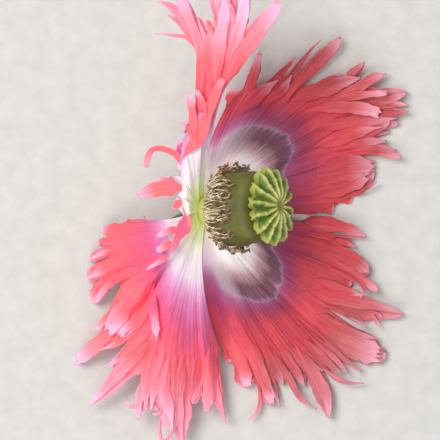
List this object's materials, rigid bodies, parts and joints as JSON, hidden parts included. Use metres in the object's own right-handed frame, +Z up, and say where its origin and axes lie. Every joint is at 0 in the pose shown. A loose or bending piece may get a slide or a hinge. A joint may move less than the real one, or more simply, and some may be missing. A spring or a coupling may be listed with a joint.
{
  "type": "poppy flower",
  "caption": "Cut fringed poppy bloom lying on its side, with slit petals, ribbed seed capsule, withered stamens and a short stem.",
  "frame": {"origin": "on the surface, under the middle of the flower's bounding box", "axes": "+Z up from the surface towards the viewer, +X the way the flower's mouth points, +Y across it towards the tall upper petal"},
  "size_m": [0.0804, 0.1086, 0.0333],
  "materials": {
    "petal": "thin silky petal, coral towards the fringe, mauve halo and cream blotch at the base",
    "capsule": "waxy bloom over olive green",
    "stigma": "velvety pale yellow-green ridges over green",
    "stamen": "dry, cream filaments and brown anthers",
    "stem": "satin green with fine hairs"
  },
  "bodies": {
    "root": {"petal_upper_right": "petal", "petal_lower_right": "petal", "petal_upper_left": "petal", "petal_lower_left": "petal", "capsule": "capsule", "stigma_disc": "stigma", "stamens": "stamen", "stem": "stem"}
  },
  "joints": []
}
